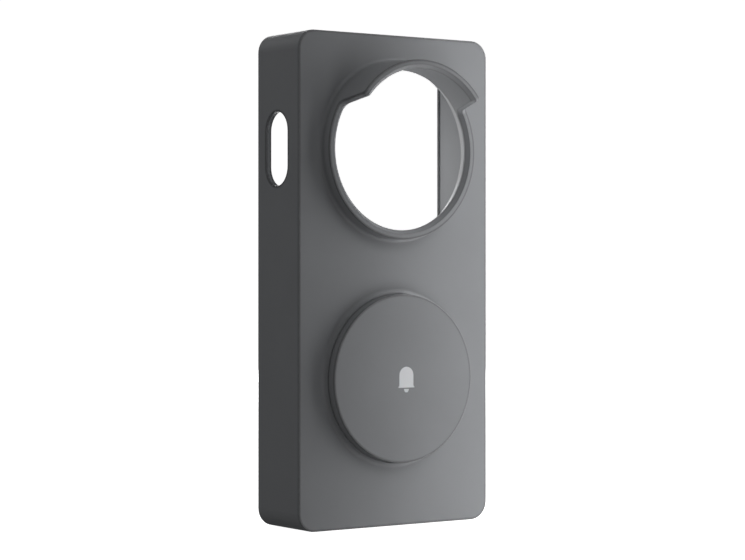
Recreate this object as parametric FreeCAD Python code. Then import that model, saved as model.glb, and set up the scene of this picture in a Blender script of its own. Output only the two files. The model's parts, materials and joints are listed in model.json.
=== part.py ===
"""Front housing of a video doorbell with its push button, as an assembly of separate pieces.

Frame: X to the right and Z up when the doorbell is seen from the street, Y into the wall.
The origin is the middle of the bottom edge of the rear rim, so the rim lies in the plane y = 0
and the front face in the plane y = -DEPTH. Millimetres throughout.
"""
import FreeCAD, Part
import math
import os

from FreeCAD import Vector

# ---------------------------------------------------------------- driving dimensions
# Housing shell
HEIGHT = 145.0
WIDTH = 68.2
DEPTH = 22.2
CORNER = 5.4                # corner radius of the outline, seen from the front
WALL = 1.8                  # side, top and bottom walls
FRONT_WALL = 1.5
FRONT_EDGE = 0.45           # rounding of the front face's outer edge
REAR_EDGE = 0.3             # small chamfer round the rear rim
LIP_REACH = 0.35            # snap bead inside the rear rim, inward from the walls
LIP_THICK = 0.7

# Camera collar and its rain hood
CAMERA_Z = 110.9
COLLAR_HEIGHT = 4.2         # ring, forward of the front face
HOOD_HEIGHT = 14.0          # hood, forward of the front face
COLLAR_BASE_R = 26.5        # outer radius at the front face
HOOD_FRONT_R = 25.9         # outer radius at the hood's front edge
BORE_R = 23.6               # camera opening
HOOD_BORE_R = 23.4          # inner radius at the hood's front edge
REAR_FLARE_R = 25.4         # the opening widens to this behind the front wall
LAND_LENGTH = 0.6           # straight stretch of the bore behind its chamfer
INNER_CHAMFER = 1.1
COLLAR_EDGE = 0.25          # rounding of the outer front edge
COLLAR_FOOT = 1.0           # fillet between the collar and the front face
HOOD_SPAN_FOOT = 60.0       # degrees from straight up to each end of the hood, at the ring
HOOD_SPAN_TIP = 53.5        # the same at the hood's front edge
HOOD_FOOT_FILLET = 1.6
HOOD_TIP_ROUND = 1.3

# Side slot in the left wall
SLOT_WIDTH = 11.6
SLOT_HEIGHT = 21.75
SLOT_Y = -10.4

# Screw hole for the wall bracket, in the bottom wall
BRACKET_HOLE_R = 1.7
BRACKET_HOLE_Y = -8.0

# Push button
BUTTON_Z = 43.65
CAP_R = 24.85
CAP_HEIGHT = 4.35           # forward of the front face
CAP_EDGE = 0.35
CAP_TOP = 2.0               # thickness of the cap's face
CAP_SIDE = 1.6
CAP_GAP = 0.15              # round the cap, in its hole
CAP_FLANGE_R = 27.5         # retaining flange behind the front wall
CAP_FLANGE_THICK = 1.4
FLANGE_GAP = 0.3            # from the front wall to the flange

# Rim of the housing round the button's hole: a hollow curve up from the front face
RIM_HEIGHT = 1.45
RIM_COVE = 1.4              # radius of the hollow curve
RIM_TOP = 0.12              # width of the rim's flat top

# Bell icon, a light-coloured window in the cap
ICON_X = 0.9
BELL_R = 2.55
BELL_TOP_Z = 47.1
SKIRT_Z = 40.96
SKIRT_HEIGHT = 0.54
SKIRT_HALF = 2.9
CLAPPER_TOP_Z = 40.55
CLAPPER_HEIGHT = 0.95
CLAPPER_TOP_HALF = 0.95
CLAPPER_FOOT_HALF = 0.5
ICON_FIT = 0.03             # clearance of the icon in its window
ICON_RECESS = 0.03
ICON_PLATE_R = 5.4
ICON_PLATE_THICK = 1.0

# Carrier that holds the button's works, and its fixing
CARRIER_HALF_X = 29.5
CARRIER_HALF_Z = 28.6
CARRIER_CORNER = 4.0
CARRIER_THICK = 2.0
CARRIER_FRONT_Y = -14.2
WINDOW_HALF_X = 8.0         # window in the carrier round the switch
WINDOW_HALF_Z = 7.0
BOSS_X = 25.5
BOSS_Z = 24.5               # up and down from the button's axis
BOSS_R = 3.2
INSERT_R = 1.75
INSERT_LENGTH = 5.0
INSERT_WAIST = 1.0          # plain groove between the insert's two knurled bands
INSERT_WAIST_DEPTH = 0.25
M25_R = 1.25
M25_LENGTH = 6.0
M25_HEAD_R = 2.3
M25_HEAD = 1.5
M25_HOLE_R = 1.45

# Cross-recessed heads, as shares of the head's radius or height
RECESS_ARM = 0.6
RECESS_HALF_WIDTH = 0.15
RECESS_DEPTH = 0.6
HEAD_ROUND = 0.33

# Guide posts, bushings, clips and springs
POST_R = 2.0
POST_CIRCLE = 18.6
POST_ANGLES = (90.0, 210.0, 330.0)
POST_CLEARANCE = 0.06
POST_END_Y = -10.8
BUSHING_R = 3.2
BUSHING_FRONT_Y = -17.0
BUSHING_FLANGE_R = 4.3
BUSHING_FLANGE = 0.8
CLIP_GAP = 0.05             # from a bushing's rear end to its clip, which stops the button forward
CLIP_THICK = 0.6
CLIP_R = 3.6
CLIP_GROOVE_R = 1.6
CLIP_MOUTH = 2.4
SPRING_WIRE = 0.5           # across the flats of the eight-sided wire
SPRING_WIRE_SIDES = 8
SPRING_MEAN_R = 3.65
SPRING_TURNS = 6
SEAL_INNER_R = 24.3
SEAL_OUTER_R = 27.1

# Light path behind the icon
GUIDE_R = 4.5
GUIDE_GAP = 1.15            # from the icon's plate to the guide, more than the button's travel
GUIDE_REAR_Y = -11.0
TUBE_WALL = 1.1
TUBE_CLEARANCE = 0.05
TUBE_FLANGE_R = 7.4
TUBE_FLANGE = 0.9
TUBE_STOP = 0.6             # inward step that the guide rests on

# Circuit board
BOARD_HALF_X = 22.0
BOARD_HALF_Z = 20.0
BOARD_CORNER = 2.0
BOARD_THICK = 1.6
BOARD_FRONT_Y = -9.2
BOARD_SCREW_X = 18.5
BOARD_SCREW_Z = 16.5        # up and down from the button's axis
STANDOFF_R = 2.7
M2_R = 1.0
M2_LENGTH = 4.4
M2_HEAD_R = 1.9
M2_HEAD = 1.2
M2_HOLE_R = 1.1

# Connector on the board
CONNECTOR_X = -9.0
CONNECTOR_RISE = 9.0        # above the button's axis
CONNECTOR_HALF_X = 5.0
CONNECTOR_HALF_Z = 2.9
CONNECTOR_HEIGHT = 5.0
CONNECTOR_FLOOR = 1.2
CONNECTOR_SIDE = 0.7
KEY_HALF = 2.2              # notch in the shroud that keys the plug
KEY_FLOOR = 2.4
PIN_PITCH = 2.0
PIN_COUNT = 4
PIN_HALF = 0.25
PIN_FRONT = 1.0             # solder tail in front of the board
PIN_REACH = 4.2             # free end behind the board

# Chips and light-emitting diodes
CHIP_X = 8.5
CHIP_RISE = 6.0             # above the button's axis
CHIP_HALF = 2.5
CHIP_THICK = 0.9
DIMPLE_R = 0.3              # index mark
DIMPLE_DEPTH = 0.1
DIMPLE_INSET = 0.8
LED_SPACING = 3.2
LED_HALF_X = 1.0
LED_HALF_Z = 0.7
LED_THICK = 0.8
LED_LENS_R = 0.5
LED_LENS_DEPTH = 0.15
SMALL_HALF_X = 0.8
SMALL_HALF_Z = 0.4
SMALL_THICK = 0.6
# Small resistors and capacitors: X, and height above the button's axis
SMALL_PLACES = ((3.0, 9.5), (3.0, 6.0), (3.0, 2.5), (14.5, 9.5), (14.5, 6.0), (14.5, 2.5),
                (8.5, -1.5), (-2.5, -6.0), (3.0, -6.0))

# Tactile switch below the light tube, and the pad that presses it
SWITCH_DROP = 13.5          # below the button's axis
SWITCH_HALF = 6.0
SWITCH_CORNER = 1.0
SWITCH_HEIGHT = 3.7
SWITCH_COVER = 0.3
COVER_INSET = 0.3
SWITCH_WELL_R = 4.5
SWITCH_FLOOR = 0.8
PLUNGER_R = 3.4
PLUNGER_EDGE = 0.3
PLUNGER_SHOULDER_R = 4.2
PLUNGER_SHOULDER = 1.0
PLUNGER_FRONT_Y = -15.7
PLUNGER_CLEARANCE = 0.08
DOME_R = 4.2
DOME_RISE = 1.05
DOME_THICK = 0.12
TERMINAL_THICK = 0.3
TERMINAL_HALF_Z = 0.6
TERMINAL_Z = 2.5            # up and down from the switch's axis
TERMINAL_RISE = 1.6
TERMINAL_FOOT = 1.5
PAD_R = 3.2
PAD_THICK = 1.5
PAD_GAP = 0.05
PRESS_POST_R = 3.0

# Modelling
MATING_GAP = 0.02           # between pieces of one body that fit into each other
CUT = 1.0                   # how far a cutting tool runs past the faces it cuts
OVERLAP = 0.2               # how far two shapes run into each other before they are fused
TOLERANCE = 0.01            # for picking edges by their place

# ---------------------------------------------------------------- places that follow
FACE_Y = -DEPTH
INNER_FACE_Y = FACE_Y + FRONT_WALL
CAP_TOP_Y = FACE_Y - CAP_HEIGHT
BUTTON_HOLE_R = CAP_R + CAP_GAP
RIM_R = BUTTON_HOLE_R + RIM_TOP
CAP_INNER_Y = CAP_TOP_Y + CAP_TOP
FLANGE_FRONT_Y = INNER_FACE_Y + FLANGE_GAP
FLANGE_REAR_Y = FLANGE_FRONT_Y + CAP_FLANGE_THICK
CARRIER_REAR_Y = CARRIER_FRONT_Y + CARRIER_THICK
CLIP_FRONT_Y = CARRIER_REAR_Y + CLIP_GAP
BOARD_REAR_Y = BOARD_FRONT_Y + BOARD_THICK
SWITCH_Z = BUTTON_Z - SWITCH_DROP
SWITCH_FRONT_Y = BOARD_FRONT_Y - SWITCH_HEIGHT
WELL_FLOOR_Y = BOARD_FRONT_Y - SWITCH_FLOOR
PAD_REAR_Y = PLUNGER_FRONT_Y - PAD_GAP
PAD_FRONT_Y = PAD_REAR_Y - PAD_THICK
ICON_PLATE_REAR_Y = CAP_INNER_Y + ICON_PLATE_THICK
ICON_Z = (BELL_TOP_Z + CLAPPER_TOP_Z - CLAPPER_HEIGHT) / 2
GUIDE_FRONT_Y = ICON_PLATE_REAR_Y + GUIDE_GAP
TUBE_INNER_R = GUIDE_R + TUBE_CLEARANCE
TUBE_R = TUBE_INNER_R + TUBE_WALL
CONNECTOR_Z = BUTTON_Z + CONNECTOR_RISE
CHIP_Z = BUTTON_Z + CHIP_RISE

X_AXIS = Vector(1, 0, 0)
Y_AXIS = Vector(0, 1, 0)
Z_AXIS = Vector(0, 0, 1)
ORIGIN = Vector(0, 0, 0)


# ---------------------------------------------------------------- shape helpers
def block(x0, x1, y0, y1, z0, z1):
    """A box between two corners."""
    return Part.makeBox(x1 - x0, y1 - y0, z1 - z0, Vector(x0, y0, z0))


def round_bar(radius, y0, y1, x, z):
    """A cylinder along Y."""
    return Part.makeCylinder(radius, y1 - y0, Vector(x, y0, z), Y_AXIS)


def ring_bar(outer, inner, y0, y1, x, z):
    """A tube along Y."""
    return round_bar(outer, y0, y1, x, z).cut(round_bar(inner, y0 - CUT, y1 + CUT, x, z))


def edges_along_y(shape):
    """Straight edges that run along Y."""
    return [e for e in shape.Edges if abs(e.tangentAt(e.FirstParameter).cross(Y_AXIS).Length) < TOLERANCE]


def front_edges(shape, y):
    """Edges that lie in the plane y, at the front end of a shape."""
    return [e for e in shape.Edges if e.BoundBox.YMax < y + TOLERANCE]


def rear_edges(shape, y):
    """Edges that lie in the plane y, at the rear end of a shape."""
    return [e for e in shape.Edges if e.BoundBox.YMin > y - TOLERANCE]


def rounded_plate(half_x, z0, z1, corner, y0, y1):
    """A plate facing Y, centred on x = 0, with rounded corners."""
    plate = block(-half_x, half_x, y0, y1, z0, z1)
    return plate.makeFillet(corner, edges_along_y(plate))


def turned(profile, x, z):
    """A solid of revolution about the line along Y through (x, z); profile is (radius, y) pairs."""
    points = [Vector(x + radius, y, z) for radius, y in profile]
    face = Part.Face(Part.makePolygon(points + points[:1]))
    return face.revolve(Vector(x, 0, z), Y_AXIS, 360)


def fused(shapes):
    """All shapes as one body, with the faces that continue each other merged."""
    whole = shapes[0]
    if len(shapes) > 1:
        whole = whole.multiFuse(shapes[1:])
    return whole.removeSplitter()


def without(shape, tools):
    """A shape with several tools cut out of it."""
    for tool in tools:
        shape = shape.cut(tool)
    return shape


def corner_arc(before, corner, after, radius):
    """Start, middle and end of the arc that rounds a corner of an outline."""
    back = (before - corner).normalize()
    ahead = (after - corner).normalize()
    half = back.getAngle(ahead) / 2
    start = corner + back * (radius / math.tan(half))
    end = corner + ahead * (radius / math.tan(half))
    centre = corner + (back + ahead).normalize() * (radius / math.sin(half))
    middle = centre + (corner - centre).normalize() * radius
    return start, middle, end


def post_places():
    """X and Z of the three guide posts."""
    turns = [math.radians(angle) for angle in POST_ANGLES]
    return [(POST_CIRCLE * math.cos(t), BUTTON_Z + POST_CIRCLE * math.sin(t)) for t in turns]


def corner_places(half_x, half_z):
    """X and Z of four points round the button's axis."""
    return [(sx * half_x, BUTTON_Z + sz * half_z) for sx in (-1, 1) for sz in (-1, 1)]


# ---------------------------------------------------------------- housing
def housing_shell():
    """The open-backed box: front wall, four side walls and the snap bead at the rear."""
    outer = rounded_plate(WIDTH / 2, 0, HEIGHT, CORNER, FACE_Y, 0)
    outer = outer.makeFillet(FRONT_EDGE, front_edges(outer, FACE_Y))
    outer = outer.makeChamfer(REAR_EDGE, rear_edges(outer, 0))
    cavity = rounded_plate(WIDTH / 2 - WALL, WALL, HEIGHT - WALL, CORNER - WALL,
                           INNER_FACE_Y, -LIP_THICK)
    inset = WALL + LIP_REACH
    mouth = rounded_plate(WIDTH / 2 - inset, inset, HEIGHT - inset, CORNER - inset,
                          -LIP_THICK - CUT, CUT)
    return outer.cut(cavity).cut(mouth)


def hood_half():
    """The tool that keeps the right half of the hood out of a full tube.

    Its outline lies across the hood's end: u runs round the ring away from the top, and
    v forward. It is swept outwards along the end's own radius.
    """
    middle = math.radians((HOOD_SPAN_FOOT + HOOD_SPAN_TIP) / 2)
    outward = Vector(math.sin(middle), 0, math.cos(middle))
    around = Vector(math.cos(middle), 0, -math.sin(middle))
    mean_r = (BORE_R + COLLAR_BASE_R) / 2
    far = 2 * COLLAR_BASE_R

    def place(u, v):
        return Vector(0, FACE_Y - v, CAMERA_Z) + around * u

    foot = place(mean_r * math.sin(math.radians(HOOD_SPAN_FOOT) - middle), COLLAR_HEIGHT)
    tip = place(mean_r * math.sin(math.radians(HOOD_SPAN_TIP) - middle), HOOD_HEIGHT)
    low_far = place(-far, COLLAR_HEIGHT)
    high_far = place(-far, HOOD_HEIGHT)
    ring_far = place(far, COLLAR_HEIGHT)
    tip_start, tip_middle, tip_end = corner_arc(high_far, tip, foot, HOOD_TIP_ROUND)
    foot_start, foot_middle, foot_end = corner_arc(tip, foot, ring_far, HOOD_FOOT_FILLET)
    outline = Part.Wire([
        Part.makeLine(low_far, high_far),
        Part.makeLine(high_far, tip_start),
        Part.Arc(tip_start, tip_middle, tip_end).toShape(),
        Part.makeLine(tip_end, foot_start),
        Part.Arc(foot_start, foot_middle, foot_end).toShape(),
        Part.makeLine(foot_end, low_far),
    ])
    swept = Part.Face(outline).extrude(outward * far)
    right = block(0, far, FACE_Y - 2 * HOOD_HEIGHT, FACE_Y, CAMERA_Z - far, CAMERA_Z + far)
    return swept.common(right)


def collar():
    """The raised ring round the camera opening and the rain hood that grows out of its top."""
    ring_front = FACE_Y - COLLAR_HEIGHT
    hood_front = FACE_Y - HOOD_HEIGHT
    land_rear = ring_front + INNER_CHAMFER + LAND_LENGTH
    taper = (COLLAR_BASE_R - HOOD_FRONT_R) / HOOD_HEIGHT
    ring_r = COLLAR_BASE_R - taper * COLLAR_HEIGHT
    ring = turned([(REAR_FLARE_R, INNER_FACE_Y), (BORE_R, land_rear), (BORE_R, ring_front),
                   (ring_r, ring_front), (COLLAR_BASE_R, FACE_Y),
                   (COLLAR_BASE_R, INNER_FACE_Y)], 0, CAMERA_Z)
    tube = turned([(BORE_R, ring_front), (HOOD_BORE_R, hood_front),
                   (HOOD_FRONT_R, hood_front), (ring_r, ring_front)], 0, CAMERA_Z)
    right = tube.common(hood_half())
    left = right.mirror(ORIGIN, X_AXIS)
    whole = fused([ring, right, left])
    whole = whole.makeChamfer(INNER_CHAMFER, collar_front_edges(whole, True))
    return whole.makeFillet(COLLAR_EDGE, collar_front_edges(whole, False))


def collar_front_edges(shape, inner):
    """Edges where the front of the ring and hood meets their inner or their outer wall."""
    middle_r = (BORE_R + COLLAR_BASE_R) / 2
    found = []
    for edge in shape.Edges:
        points = edge.discretize(5)
        radii = [math.hypot(p.x, p.z - CAMERA_Z) for p in points]
        forward = min(FACE_Y - p.y for p in points)
        on_side = max(radii) < middle_r if inner else min(radii) > middle_r
        if on_side and forward > COLLAR_HEIGHT - TOLERANCE and not within_wall(edge, shape):
            found.append(edge)
    return found


def within_wall(edge, shape):
    """True for an edge between two stretches of the collar's own round wall."""
    faces = shape.ancestorsOfType(edge, Part.Face)
    return all(isinstance(f.Surface, (Part.Cylinder, Part.Cone)) and
               f.Surface.Axis.cross(Y_AXIS).Length < TOLERANCE for f in faces)


def foot_edges(shape, radius):
    """Circles of one radius where a raised ring's outer wall meets the front face."""
    found = []
    for edge in shape.Edges:
        box = edge.BoundBox
        on_face = max(abs(box.YMin - FACE_Y), abs(box.YMax - FACE_Y)) < TOLERANCE
        if on_face and isinstance(edge.Curve, Part.Circle):
            if abs(edge.Curve.Radius - radius) < TOLERANCE:
                found.append(edge)
    return found


def side_slot():
    """The tool for the upright slot with round ends, through the left wall only."""
    half = (SLOT_HEIGHT - SLOT_WIDTH) / 2
    x0 = -WIDTH / 2 - CUT
    length = WALL + 2 * CUT
    ends = [Part.makeCylinder(SLOT_WIDTH / 2, length, Vector(x0, SLOT_Y, CAMERA_Z + s * half), X_AXIS)
            for s in (-1, 1)]
    middle = block(x0, x0 + length, SLOT_Y - SLOT_WIDTH / 2, SLOT_Y + SLOT_WIDTH / 2,
                   CAMERA_Z - half, CAMERA_Z + half)
    return fused([middle] + ends)


def front_housing():
    """Housing with camera collar, hood, side slot, button rim, bosses and bracket hole."""
    opening = round_bar(COLLAR_BASE_R - OVERLAP, FACE_Y - CUT, INNER_FACE_Y + CUT, 0, CAMERA_Z)
    rim = round_bar(RIM_R, FACE_Y - RIM_HEIGHT, FACE_Y + OVERLAP, 0, BUTTON_Z)
    body = fused([housing_shell().cut(opening), collar(), rim])
    body = body.makeFillet(COLLAR_FOOT, foot_edges(body, COLLAR_BASE_R))
    body = body.makeFillet(RIM_COVE, foot_edges(body, RIM_R))
    button_hole = round_bar(BUTTON_HOLE_R, FACE_Y - RIM_HEIGHT - CUT, INNER_FACE_Y + CUT,
                            0, BUTTON_Z)
    bracket_hole = Part.makeCylinder(BRACKET_HOLE_R, WALL + 2 * CUT,
                                     Vector(0, BRACKET_HOLE_Y, -CUT), Z_AXIS)
    body = without(body, [button_hole, side_slot(), bracket_hole])
    bosses = [ring_boss(x, z) for x, z in corner_places(BOSS_X, BOSS_Z)]
    return fused([body] + bosses)


def ring_boss(x, z):
    """A boss behind the front wall, with a blind hole for a threaded insert."""
    boss = round_bar(BOSS_R, INNER_FACE_Y - OVERLAP, CARRIER_FRONT_Y, x, z)
    hole = round_bar(INSERT_R, CARRIER_FRONT_Y - INSERT_LENGTH, CARRIER_FRONT_Y + CUT, x, z)
    return boss.cut(hole)


# ---------------------------------------------------------------- button, moving pieces
def icon_outlines(grow):
    """Faces of the bell and its clapper in the plane y = 0, grown on every side by grow."""
    bell_half = BELL_R + grow
    spring_z = BELL_TOP_Z - BELL_R
    skirt_half = SKIRT_HALF + grow
    skirt_low = SKIRT_Z - grow
    skirt_shoulder = SKIRT_Z + SKIRT_HEIGHT / 2
    skirt_top = SKIRT_Z + SKIRT_HEIGHT + grow
    left = Vector(ICON_X - bell_half, 0, spring_z)
    right = Vector(ICON_X + bell_half, 0, spring_z)
    crown = Part.Arc(left, Vector(ICON_X, 0, spring_z + bell_half), right).toShape()
    corners = [right,
               Vector(ICON_X + bell_half, 0, skirt_top),
               Vector(ICON_X + skirt_half, 0, skirt_shoulder),
               Vector(ICON_X + skirt_half, 0, skirt_low),
               Vector(ICON_X - skirt_half, 0, skirt_low),
               Vector(ICON_X - skirt_half, 0, skirt_shoulder),
               Vector(ICON_X - bell_half, 0, skirt_top),
               left]
    sides = [Part.makeLine(a, b) for a, b in zip(corners, corners[1:])]
    bell = Part.Face(Part.Wire([crown] + sides))
    top = CLAPPER_TOP_Z + grow
    low = CLAPPER_TOP_Z - CLAPPER_HEIGHT - grow
    top_half = CLAPPER_TOP_HALF + grow
    foot_half = CLAPPER_FOOT_HALF + grow
    ends = [Vector(ICON_X - top_half, 0, top), Vector(ICON_X + top_half, 0, top),
            Vector(ICON_X + foot_half, 0, low), Vector(ICON_X - foot_half, 0, low)]
    clapper = Part.Face(Part.makePolygon(ends + ends[:1]))
    return [bell, clapper]


def icon_prisms(grow, y0, y1):
    """Bell and clapper as solids between two planes."""
    return [face.translated(Vector(0, y0, 0)).extrude(Y_AXIS * (y1 - y0))
            for face in icon_outlines(grow)]


def guide_post(x, z):
    """A post with the groove for its clip."""
    post = round_bar(POST_R, CAP_INNER_Y - OVERLAP, POST_END_Y, x, z)
    groove = ring_bar(POST_R + CUT, CLIP_GROOVE_R, CLIP_FRONT_Y, CLIP_FRONT_Y + CLIP_THICK, x, z)
    return post.cut(groove)


def button_cap():
    """Round cup-shaped cap with a retaining flange, guide posts and a press post."""
    cap = turned([(0, CAP_TOP_Y), (CAP_R, CAP_TOP_Y), (CAP_R, FLANGE_FRONT_Y),
                  (CAP_FLANGE_R, FLANGE_FRONT_Y), (CAP_FLANGE_R, FLANGE_REAR_Y),
                  (0, FLANGE_REAR_Y)], 0, BUTTON_Z)
    cap = cap.makeFillet(CAP_EDGE, front_edges(cap, CAP_TOP_Y))
    hollow = round_bar(CAP_R - CAP_SIDE, CAP_INNER_Y, FLANGE_REAR_Y + CUT, 0, BUTTON_Z)
    windows = icon_prisms(ICON_FIT, CAP_TOP_Y - CUT, CAP_INNER_Y + CUT)
    cap = without(cap, [hollow] + windows)
    posts = [guide_post(x, z) for x, z in post_places()]
    press_post = round_bar(PRESS_POST_R, CAP_INNER_Y - OVERLAP, PAD_FRONT_Y, 0, SWITCH_Z)
    return fused([cap, press_post] + posts)


def bell_icon():
    """Translucent window: bell and clapper standing on one backing plate behind the cap's face."""
    plate = round_bar(ICON_PLATE_R, CAP_INNER_Y, ICON_PLATE_REAR_Y, ICON_X, ICON_Z)
    return fused([plate] + icon_prisms(0, CAP_TOP_Y + ICON_RECESS, CAP_INNER_Y))


def press_pad():
    """Soft pad on the end of the press post."""
    return round_bar(PAD_R, PAD_FRONT_Y, PAD_REAR_Y, 0, SWITCH_Z)


def retaining_clips():
    """Spring clips in the posts' grooves, behind the bushings."""
    clips = []
    for x, z in post_places():
        clip = ring_bar(CLIP_R, CLIP_GROOVE_R + MATING_GAP, CLIP_FRONT_Y + MATING_GAP,
                        CLIP_FRONT_Y + CLIP_THICK - MATING_GAP, x, z)
        mouth = block(x - CLIP_MOUTH / 2, x + CLIP_MOUTH / 2, CLIP_FRONT_Y - CUT, CLIP_FRONT_Y + CUT,
                      z - CLIP_R - CUT, z)
        clips.append(clip.cut(mouth))
    return Part.makeCompound(clips)


# ---------------------------------------------------------------- guides, springs, seal
def button_carrier():
    """Plate behind the button: it holds the bushings, the light tube and the circuit board."""
    plate = rounded_plate(CARRIER_HALF_X, BUTTON_Z - CARRIER_HALF_Z, BUTTON_Z + CARRIER_HALF_Z,
                          CARRIER_CORNER, CARRIER_FRONT_Y, CARRIER_REAR_Y)
    board_places = corner_places(BOARD_SCREW_X, BOARD_SCREW_Z)
    standoffs = [round_bar(STANDOFF_R, CARRIER_REAR_Y - OVERLAP, BOARD_FRONT_Y, x, z)
                 for x, z in board_places]
    before = CARRIER_FRONT_Y - CUT
    after = CARRIER_REAR_Y + CUT
    holes = [round_bar(M25_HOLE_R, before, after, x, z) for x, z in corner_places(BOSS_X, BOSS_Z)]
    holes += [round_bar(BUSHING_R + MATING_GAP, before, after, x, z) for x, z in post_places()]
    holes += [round_bar(M2_R, BOARD_FRONT_Y - M2_LENGTH, BOARD_FRONT_Y + CUT, x, z)
              for x, z in board_places]
    holes.append(round_bar(TUBE_R + MATING_GAP, before, after, ICON_X, ICON_Z))
    holes.append(block(-WINDOW_HALF_X, WINDOW_HALF_X, before, after,
                       SWITCH_Z - WINDOW_HALF_Z, SWITCH_Z + WINDOW_HALF_Z))
    return without(fused([plate] + standoffs), holes)


def guide_bushings():
    """Flanged sleeves in the carrier that the guide posts slide in."""
    bushings = []
    for x, z in post_places():
        sleeve = round_bar(BUSHING_R, BUSHING_FRONT_Y, CARRIER_REAR_Y, x, z)
        flange = round_bar(BUSHING_FLANGE_R, CARRIER_FRONT_Y - BUSHING_FLANGE, CARRIER_FRONT_Y, x, z)
        bore = round_bar(POST_R + POST_CLEARANCE, BUSHING_FRONT_Y - CUT, CARRIER_REAR_Y + CUT, x, z)
        bushings.append(fused([sleeve, flange]).cut(bore))
    return Part.makeCompound(bushings)


def wire_section():
    """The spring wire's eight-sided section, at the start of its coil."""
    corner_r = SPRING_WIRE / 2 / math.cos(math.pi / SPRING_WIRE_SIDES)
    turns = [2 * math.pi * (k + 0.5) / SPRING_WIRE_SIDES for k in range(SPRING_WIRE_SIDES)]
    corners = [Vector(SPRING_MEAN_R + corner_r * math.cos(t), 0, corner_r * math.sin(t)) for t in turns]
    return Part.makePolygon(corners + corners[:1])


def return_springs():
    """Coil springs round the bushings, from the bushings' flanges to the inside of the cap."""
    half_wire = SPRING_WIRE / 2 + 2 * MATING_GAP
    seat_y = CARRIER_FRONT_Y - BUSHING_FLANGE - half_wire
    length = seat_y - half_wire - CAP_INNER_Y
    helix = Part.makeHelix(length / SPRING_TURNS, length, SPRING_MEAN_R)
    coil = Part.Wire(helix.Edges).makePipeShell([wire_section()], True, True)
    coil.rotate(ORIGIN, X_AXIS, 90)
    return Part.makeCompound([coil.translated(Vector(x, seat_y, z)) for x, z in post_places()])


def button_seal():
    """Soft ring between the cap's flange and the carrier, keeping the weather out."""
    return ring_bar(SEAL_OUTER_R, SEAL_INNER_R, FLANGE_REAR_Y, CARRIER_FRONT_Y, 0, BUTTON_Z)


# ---------------------------------------------------------------- fasteners
def screw(radius, length, head_r, head, seat_y, x, z):
    """Cross-recessed pan-head screw driven from behind; its head sits on the plane seat_y."""
    shank = round_bar(radius - MATING_GAP, seat_y - length, seat_y, x, z)
    top = round_bar(head_r, seat_y, seat_y + head, x, z)
    top = top.makeFillet(head * HEAD_ROUND, rear_edges(top, seat_y + head))
    arm = head_r * RECESS_ARM
    half = head_r * RECESS_HALF_WIDTH
    floor_y = seat_y + head - head * RECESS_DEPTH
    end_y = seat_y + head + CUT
    across = block(x - arm, x + arm, floor_y, end_y, z - half, z + half)
    upright = block(x - half, x + half, floor_y, end_y, z - arm, z + arm)
    return without(fused([shank, top]), [across, upright])


def carrier_screws():
    """Four screws that hold the carrier to the housing's bosses."""
    return Part.makeCompound([screw(M25_R, M25_LENGTH, M25_HEAD_R, M25_HEAD, CARRIER_REAR_Y, x, z)
                              for x, z in corner_places(BOSS_X, BOSS_Z)])


def threaded_inserts():
    """Four brass inserts in the housing's bosses, with two knurled bands each."""
    front_y = CARRIER_FRONT_Y - INSERT_LENGTH + MATING_GAP
    middle_y = CARRIER_FRONT_Y - INSERT_LENGTH / 2
    inserts = []
    for x, z in corner_places(BOSS_X, BOSS_Z):
        insert = ring_bar(INSERT_R - MATING_GAP, M25_R, front_y, CARRIER_FRONT_Y, x, z)
        waist = ring_bar(INSERT_R + CUT, INSERT_R - INSERT_WAIST_DEPTH,
                         middle_y - INSERT_WAIST / 2, middle_y + INSERT_WAIST / 2, x, z)
        inserts.append(insert.cut(waist))
    return Part.makeCompound(inserts)


def board_screws():
    """Four small screws that hold the circuit board to the carrier's standoffs."""
    return Part.makeCompound([screw(M2_R, M2_LENGTH, M2_HEAD_R, M2_HEAD, BOARD_REAR_Y, x, z)
                              for x, z in corner_places(BOARD_SCREW_X, BOARD_SCREW_Z)])


# ---------------------------------------------------------------- light path
def light_guide():
    """Clear rod that carries the light from the board to the icon."""
    return round_bar(GUIDE_R, GUIDE_FRONT_Y, GUIDE_REAR_Y, ICON_X, ICON_Z)


def light_tube():
    """White sleeve round the light guide, with a flange on the carrier's front and a rear stop."""
    tube = ring_bar(TUBE_R, TUBE_INNER_R, GUIDE_FRONT_Y, BOARD_FRONT_Y, ICON_X, ICON_Z)
    flange = ring_bar(TUBE_FLANGE_R, TUBE_INNER_R, CARRIER_FRONT_Y - TUBE_FLANGE, CARRIER_FRONT_Y,
                      ICON_X, ICON_Z)
    stop = ring_bar(TUBE_INNER_R + OVERLAP, GUIDE_R - TUBE_STOP, GUIDE_REAR_Y, BOARD_FRONT_Y,
                    ICON_X, ICON_Z)
    return fused([tube, flange, stop])


# ---------------------------------------------------------------- circuit board and its parts
def pin_blocks(half, y0, y1):
    """One square bar for each connector pin."""
    first = CONNECTOR_X - PIN_PITCH * (PIN_COUNT - 1) / 2
    middles = [first + PIN_PITCH * k for k in range(PIN_COUNT)]
    return [block(x - half, x + half, y0, y1, CONNECTOR_Z - half, CONNECTOR_Z + half) for x in middles]


def button_board():
    """Circuit board of the button."""
    board = rounded_plate(BOARD_HALF_X, BUTTON_Z - BOARD_HALF_Z, BUTTON_Z + BOARD_HALF_Z,
                          BOARD_CORNER, BOARD_FRONT_Y, BOARD_REAR_Y)
    before = BOARD_FRONT_Y - CUT
    after = BOARD_REAR_Y + CUT
    holes = [round_bar(M2_HOLE_R, before, after, x, z)
             for x, z in corner_places(BOARD_SCREW_X, BOARD_SCREW_Z)]
    return without(board, holes + pin_blocks(PIN_HALF + MATING_GAP, before, after))


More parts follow.
